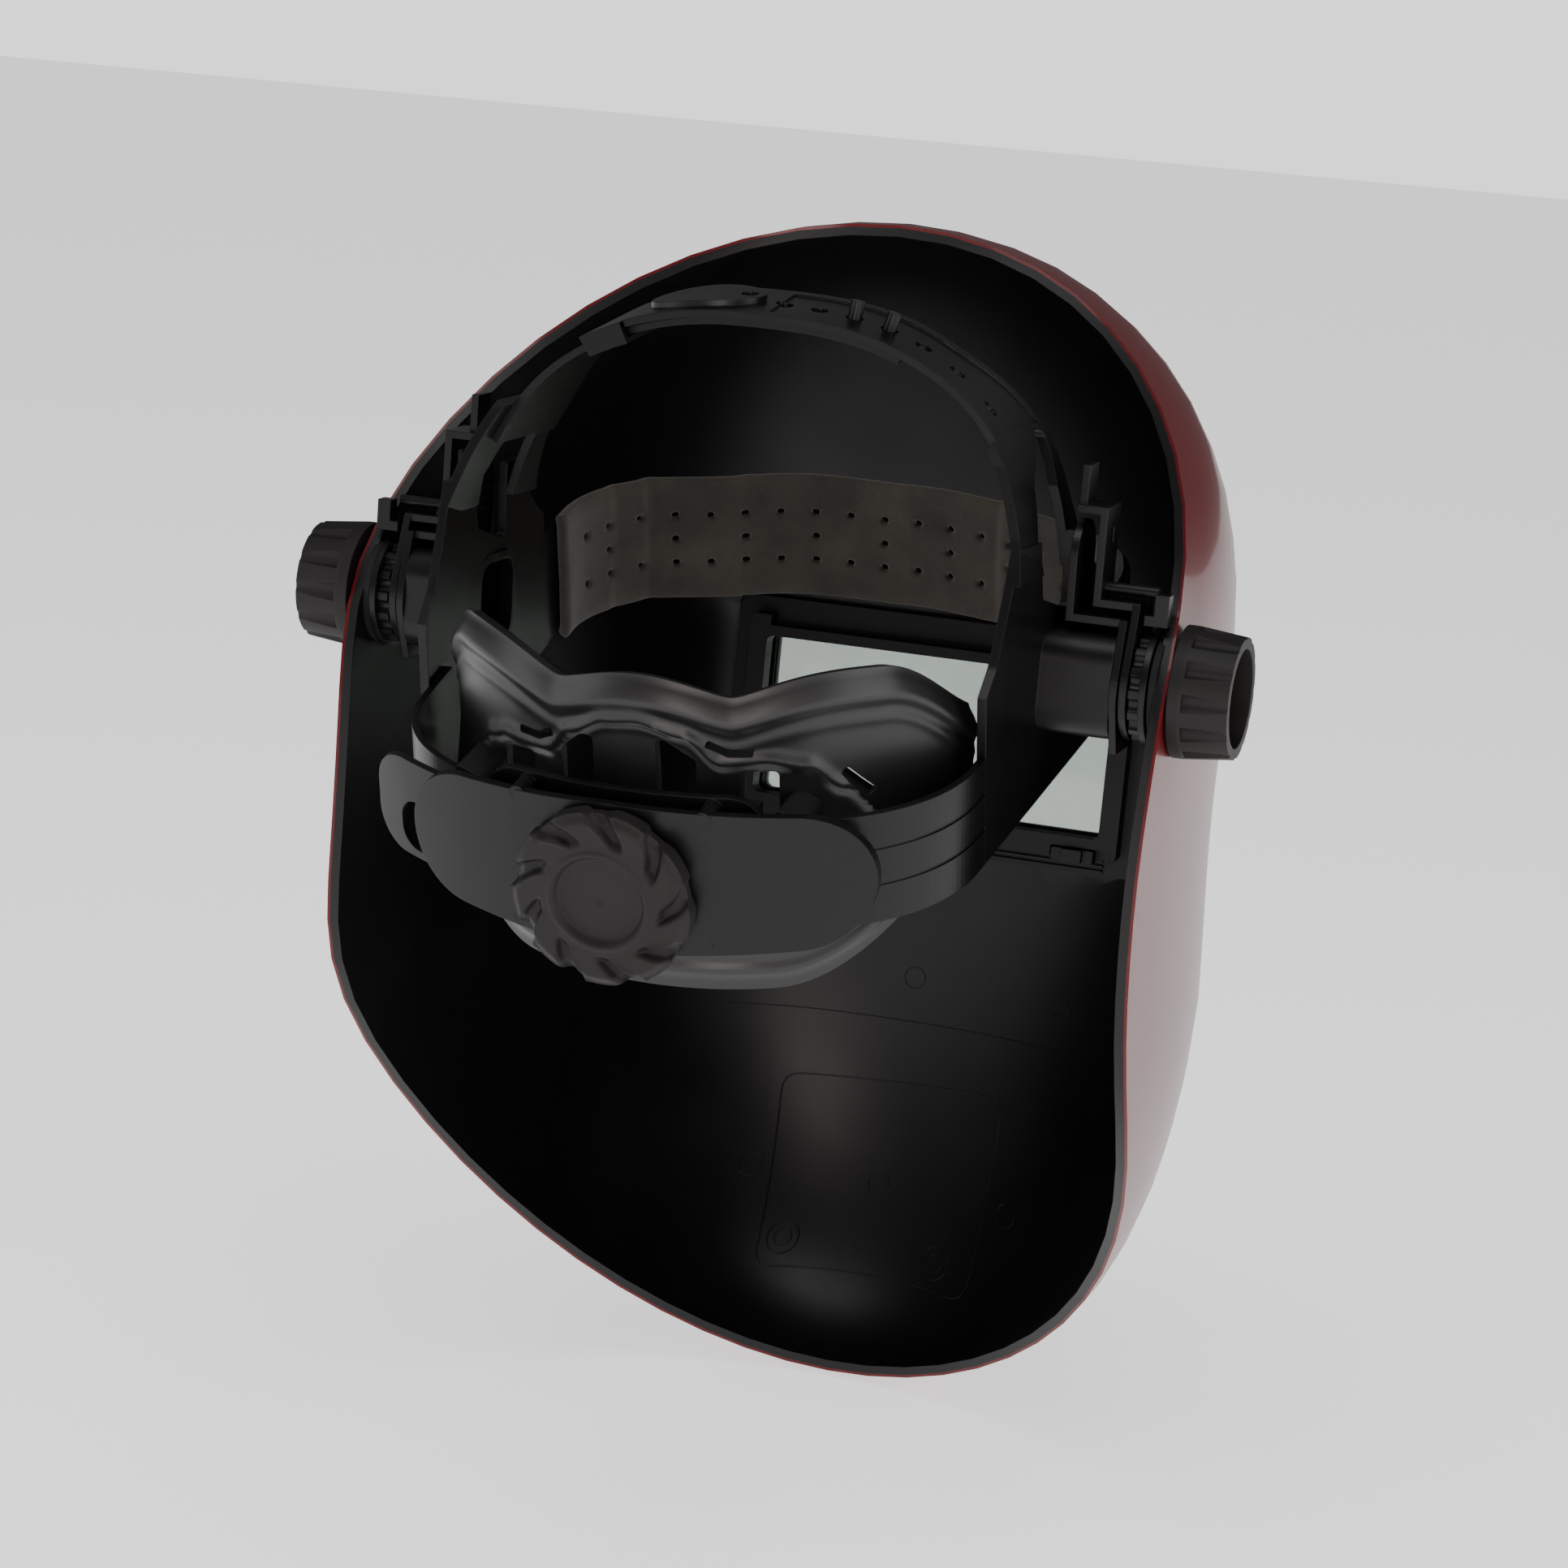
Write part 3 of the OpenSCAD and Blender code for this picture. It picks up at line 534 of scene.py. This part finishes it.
def sweatband_felt():
    """A perforated felt band with pinched edges, creases and a slight ripple."""
    line = band_line()
    length = resample(line, 10)[1] / MM
    columns = CELLS * max(4, round(length / HOLE_PITCH))
    points = resample(line, columns)[0]
    bm = bmesh.new()
    bmesh.ops.create_grid(bm, x_segments=columns, y_segments=BAND_ROWS, size=0.5)
    holes = [face for face in bm.faces if punched(face, columns)]
    bmesh.ops.delete(bm, geom=holes, context="FACES_ONLY")
    for vert in bm.verts:
        u, v = vert.co.x + 0.5, vert.co.y + 0.5
        at = min(columns, max(0, round(u * columns)))
        ahead, behind = points[min(columns, at + 1)], points[max(0, at - 1)]
        along = (ahead - behind).normalized()
        inward = Vector((-along.y, along.x, 0))
        if inward.dot(points[at] - SWEAT_HEART) > 0:
            inward.negate()
        z = (v - 0.5) * BAND_HEIGHT
        pinch = smooth_step(14.5, 17.5, abs(z))
        lean = CREASE_LEAN * (v - 0.5)
        fold = sum(depth * bump_at(u + lean, spot, CREASE_WIDTH) for spot, depth in CREASES)
        ripple = 0.5 * noise.noise(Vector((u * 14, v * 2, 3)))
        edge_wave = 0.5 * noise.noise(Vector((u * 9, 8, 1)))
        place = points[at] + inward * (FELT_LIFT - pinch - fold + ripple) * MM
        vert.co = Vector((place.x, place.y, (z + edge_wave) * MM))
    aim_sheet(bm, SWEAT_HEART, away=False)
    bmesh.ops.solidify(bm, geom=bm.faces, thickness=FELT_THICK * MM)
    bmesh.ops.transform(bm, matrix=RING, verts=bm.verts)
    piece = make_piece("sweatband_felt", bm, [FELT], "headgear", crease=180)
    rounder = piece.modifiers.new("round", "SUBSURF")
    rounder.levels = rounder.render_levels = 2
    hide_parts("sweatband")


sweatband_felt()


# ---------- nape pad ----------

PAD_R = 67.8                                # outside radius of its arc
PAD_CENTRE = Vector((-0.8, 17))             # middle of its arc, in the headband's frame
PAD_SKIN = 1.3                              # how far its plain face lies inside that radius
PAD_WALL = 2.8
PAD_SWING = math.radians(73.6)              # half of the angle that it spans
PAD_CELLS = (150, 76)                       # along and up

TOP_LEVEL, LOBE_RISE = 35, 5                # the three-lobed top edge
LOBE_HALF = 21.5                            # half of a lobe's width
CUSP_SOFTNESS = 0.02
TOP_END, TOP_END_REACH, TOP_END_FALL = 52, 15.4, 20
BOTTOM_LEVEL = -37
BOTTOM_END, BOTTOM_END_REACH, BOTTOM_END_RISE = 30, 35, 27

UPPER_RIDGE = 6.2                           # how far the rolled ridge lies below the top edge
LOWER_RIDGE = [(-62, -6), (-52, 3), (-44, 12.5), (-37, 18.8), (-28, 21), (-19, 20.3),
               (-10, 27.3), (0, 30), (8, 29), (17, 24), (24, 17.6), (30, 17.2), (36, 17),
               (42, 14.5), (49, 7), (60, -4)]

PAD_WINDOWS = [
    # four tall windows
    [(27.5, 2), (36.8, 2), (36.6, 13), (27.4, 15)],
    [(10.3, 0), (19.4, 0), (19.4, 18.2), (13.6, 23.8), (11, 23)],
    [(-13.8, 0), (-5, 0), (-4.4, 24.5), (-6.5, 25), (-13.7, 20.4)],
    [(-31.2, 2), (-22.8, 2), (-23.4, 17.6), (-31.2, 17.7)],
    # three narrow ones along the lower ridge
    [(21, 21), (25, 19), (31, 18.8), (31, 20.4), (25.6, 20.6), (22, 22.8)],
    [(-26.4, 22), (-21, 22), (-16, 24.4), (-16.8, 26), (-21.4, 23.8), (-26.4, 23.8)],
    [(-49.8, 10.2), (-48.4, 9.0), (-43.3, 15.6), (-44.6, 17)],
    # slits near the lower edge
    [(-36, -25.4), (-26, -25.4), (-26, -22.6), (-36, -22.6)],
    [(26, -25.4), (36, -25.4), (36, -22.6), (26, -22.6)],
    [(-46, -19.5), (-38.5, -22.8), (-38, -21), (-45.5, -17.6)],
]
WINDOW_CUT = (30, 100)                      # the cutters' reach along the headband's Y

BRACKETS = {"left": 40, "right": -37}       # the wedges' middles
BRACKET_DEPTH = (72, 85)


def pad_top(x):
    """Height of the pad's top edge: three lobes that meet in soft cusps, falling at the ends."""
    lobes = math.sqrt(math.cos(math.pi / 2 * x / LOBE_HALF) ** 2 + CUSP_SOFTNESS)
    fall = TOP_END_FALL * max(0, (abs(x) - TOP_END) / TOP_END_REACH) ** 2
    return TOP_LEVEL + LOBE_RISE * lobes - fall


def pad_bottom(x):
    """Height of the pad's bottom edge, which rises at the ends."""
    return BOTTOM_LEVEL + BOTTOM_END_RISE * max(0, (abs(x) - BOTTOM_END) / BOTTOM_END_REACH) ** 2


def pad_relief(x, z):
    """How far the pad stands out at (x, z): each line is a height times where it is felt."""
    top, bottom, ridge = pad_top(x), pad_bottom(x), through(LOWER_RIDGE, x)
    fade = 1 - smooth_step(46, 60, abs(x))
    upper = 1.4 * bump_at(z, top - UPPER_RIDGE, 2.4)
    shoulder = 0.5 * bump_at(z, top - UPPER_RIDGE - 5.5, 1.6)
    lower = 1.1 * fade * bump_at(z, ridge, 1.7)
    under = -0.8 * fade * smooth_step(0, 3.5, ridge - z) * smooth_step(-26, -18, z)
    hem = 1.1 * bump_at(z, bottom + 5, 1.7) + 0.6 * bump_at(z, bottom + 10, 1.3)
    lip = -1.4 * smooth_step(top - 3.5, top, z)
    return upper + shoulder + lower + under + hem + lip


def prism(outline, reach):
    """A closed bar along the headband's Y with an (x, z) outline, its corners rounded."""
    start, end = reach
    bm = bmesh.new()
    verts = [bm.verts.new((x * MM, start * MM, z * MM)) for x, z in outline]
    face = bm.faces.new(verts)
    shortest = min(edge.calc_length() for edge in face.edges)
    bmesh.ops.bevel(bm, geom=verts, offset=min(1.4 * MM, 0.3 * shortest), segments=4,
                    profile=0.5, affect="VERTICES", material=-1)
    far_end = new_verts(bmesh.ops.extrude_face_region(bm, geom=bm.faces[:]))
    bmesh.ops.translate(bm, verts=far_end, vec=(0, (end - start) * MM, 0))
    bmesh.ops.recalc_face_normals(bm, faces=bm.faces)
    bmesh.ops.transform(bm, matrix=RING, verts=bm.verts)
    return bm


def nape_cradle():
    """The curved pad behind the head, with its ridges, windows and slits."""
    bm = bmesh.new()
    along, up = PAD_CELLS
    bmesh.ops.create_grid(bm, x_segments=along, y_segments=up, size=0.5)
    for vert in bm.verts:
        turn = 2 * vert.co.x * PAD_SWING
        x = PAD_R * math.sin(turn)
        z = pad_bottom(x) + (vert.co.y + 0.5) * (pad_top(x) - pad_bottom(x))
        r = PAD_R - PAD_SKIN + pad_relief(x, z)
        vert.co = Vector((PAD_CENTRE.x + r * math.sin(turn),
                          PAD_CENTRE.y + r * math.cos(turn), z)) * MM
    aim_sheet(bm, Vector(), away=True)
    bmesh.ops.solidify(bm, geom=bm.faces, thickness=PAD_WALL * MM)
    bmesh.ops.transform(bm, matrix=RING, verts=bm.verts)
    bmesh.ops.recalc_face_normals(bm, faces=bm.faces)
    piece = make_piece("nape_cradle", bm, [PAD_NYLON], "headgear", crease=50)
    for outline in PAD_WINDOWS:
        cut_away(piece, prism(outline, WINDOW_CUT))
    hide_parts("nape_pad")


def pad_bracket(side, x):
    """A wedge that carries the pad on the ratchet's base."""
    outline = [(x - 3.4, 3), (x + 3.4, 3), (x + 3.4, 13), (x - 3.4, 10)]
    wedge = make_piece("pad_bracket_" + side, prism(outline, BRACKET_DEPTH), [PAD_NYLON],
                       "headgear")


nape_cradle()
for side, x in BRACKETS.items():
    pad_bracket(side, x)


# ---------- ratchet knob ----------

KNOB_R = 21.3
KNOB_Y, KNOB_Z = 103.3, -4                  # its back, in the headband's frame
KNOB_FACE = 5.2                             # its height over that
KNOB_RINGS, KNOB_SPOKES = 56, 324           # mesh cells out from the middle and round
LOBES = 9
LOBE_SWIRL = 0.07                           # how far a scoop leans per millimetre inwards
SCOOP_DEPTH, BITE_DEPTH = 1.9, 0.9          # of a scoop in the face and at the outline
DISH_DEPTH, DIMPLE_DEPTH = 1.3, 0.35


def knob_relief(r, turn):
    """Height of the knob's face: curved scoops between the lobes, a dished middle and a dimple."""
    swirl = (turn * LOBES / math.tau - (KNOB_R - r) * LOBE_SWIRL) % 1.0
    scoop = plateau(swirl, (0.02, 0.1), (0.3, 0.44))
    reach = smooth_step(13.4, 15.6, r)
    brow = 0.35 * (bump_at(swirl, 0.0, 0.05) + bump_at(swirl, 1.0, 0.05))
    dish = DISH_DEPTH * (1 - smooth_step(9.8, 11.0, r))
    rim = 0.45 * bump_at(r, 11.6, 0.6)
    dimple = DIMPLE_DEPTH * (1 - smooth_step(0.5, 1.7, r))
    shoulder = 1.3 * smooth_step(KNOB_R - 2.4, KNOB_R, r)
    return KNOB_FACE + (brow - SCOOP_DEPTH * scoop) * reach + rim - dish - dimple - shoulder


def ratchet_grip():
    """The knob that is turned to tighten the headband: one sheet for its face, and a wall."""
    bm = bmesh.new()
    bmesh.ops.create_grid(bm, x_segments=KNOB_SPOKES, y_segments=KNOB_RINGS, size=0.5)
    for vert in bm.verts:
        turn = (vert.co.x + 0.5) * math.tau
        share = vert.co.y + 0.5
        swirl = (turn * LOBES / math.tau) % 1.0
        bite = BITE_DEPTH * plateau(swirl, (0.0, 0.1), (0.3, 0.55)) * smooth_step(0.7, 1.0, share)
        height = knob_relief(share * KNOB_R, turn)
        r = share * KNOB_R - bite
        vert.co = Vector((r * math.cos(turn), KNOB_Y + height, KNOB_Z + r * math.sin(turn))) * MM
    bmesh.ops.remove_doubles(bm, verts=bm.verts, dist=0.005 * MM)
    rim = [edge for edge in bm.edges if len(edge.link_faces) == 1]
    for vert in new_verts(bmesh.ops.extrude_edge_only(bm, edges=rim)):
        vert.co.y = KNOB_Y * MM
    back = [edge for edge in bm.edges if len(edge.link_faces) == 1]
    bmesh.ops.contextual_create(bm, geom=back)
    bmesh.ops.recalc_face_normals(bm, faces=bm.faces)
    bmesh.ops.transform(bm, matrix=RING, verts=bm.verts)
    piece = make_piece("ratchet_grip", bm, [GRIP], "ratchet", crease=55)
    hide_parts("ratchet_knob")


ratchet_grip()


# ---------- camera, light and floor ----------

SENSOR, LENS = 36, 94.7                     # millimetres
# Places are in metres; the turn's columns are the camera's right, up and backward directions
CAMERA_PLACE = (-0.3078, 0.9346, 0.1756)
CAMERA_TURN = ((-0.94483, 0.13427, -0.29888),
               (-0.31965, -0.17717, 0.93085),
               (0.07204, 0.97498, 0.21030))
# name: place, what it is aimed at, width and height in metres, power in watts, tint
SOFTBOXES = {
    "overhead": ((-0.1, 0.5, 1.5), (0, 0, -0.05), 1.2, 0.8, 11, "ffffff"),
    "side_right": ((-1.4, 0.5, 0.35), (0, 0, -0.05), 0.9, 1.4, 11, "ffffff"),
    "side_left": ((1.3, 0.8, 0.5), (0, 0, -0.05), 0.8, 1.3, 7, "ffffff"),
    "low_back": ((-0.25, 1.5, 0.1), (0, -0.1, -0.15), 0.5, 0.5, 5, "fff2ee"),
}
ROOM_LIGHT, BACKDROP = 0.16, 1.6            # the world's strength on the object and to the camera
FLOOR_HALF = 6                              # metres
FLOOR_GAP = 0.5 * MM                        # keeps the chin clear of the floor

camera = put_in_scene("camera", bpy.data.cameras.new("camera"))
camera.data.sensor_width = SENSOR
camera.data.lens = LENS
camera.data.clip_start, camera.data.clip_end = 0.05, 20
camera.matrix_world = Matrix.Translation(CAMERA_PLACE) @ Matrix(CAMERA_TURN).to_4x4()
bpy.context.scene.camera = camera


def softbox(name, place, aim, width, height, power, tint):
    """A soft rectangular lamp aimed at a point."""
    lamp = bpy.data.lights.new(name, "AREA")
    lamp.shape = "RECTANGLE"
    lamp.size, lamp.size_y = width, height
    lamp.energy = power
    lamp.color = colour(tint)[:3]
    light = put_in_scene(name, lamp)
    light.location = place
    light.rotation_euler = (Vector(aim) - Vector(place)).to_track_quat("-Z", "Y").to_euler()


for name, setting in SOFTBOXES.items():
    softbox(name, *setting)

# The backdrop is white to the eye, and a dimmer room lights the object so its blacks stay deep
world = bpy.data.worlds.new("studio")
world.use_nodes = True
room = world.node_tree.nodes["Background"]
room.inputs["Color"].default_value = colour("fbfbfb")
sight = add_node(world.node_tree, "ShaderNodeLightPath")
strength = add_node(world.node_tree, "ShaderNodeMapRange",
                    {"To Min": ROOM_LIGHT, "To Max": BACKDROP},
                    {"Value": sight.outputs["Is Camera Ray"]})
world.node_tree.links.new(strength.outputs["Result"], room.inputs["Strength"])
bpy.context.scene.world = world

# Matt white paper under the helmet, which also glows evenly with a painted white emission: painted
# light that brightens the floor and lights the helmet from below
paper, paper_tree = new_material("glowing_white_paper_sweep")
# The emission is painted light: the paper glows although it is no lamp
close_material(paper_tree, {"Base Color": colour("f6f6f6"), "Roughness": 0.9,
                            "Emission Color": colour("ffffff"), "Emission Strength": 1.0}, None)
sheet = bmesh.new()
bmesh.ops.create_grid(sheet, x_segments=1, y_segments=1, size=FLOOR_HALF)
bmesh.ops.translate(sheet, verts=sheet.verts, vec=(0, 0, cad_box[0].z - FLOOR_GAP))
floor = put_in_scene("floor", mesh_of("floor", sheet))
floor.data.materials.append(paper)
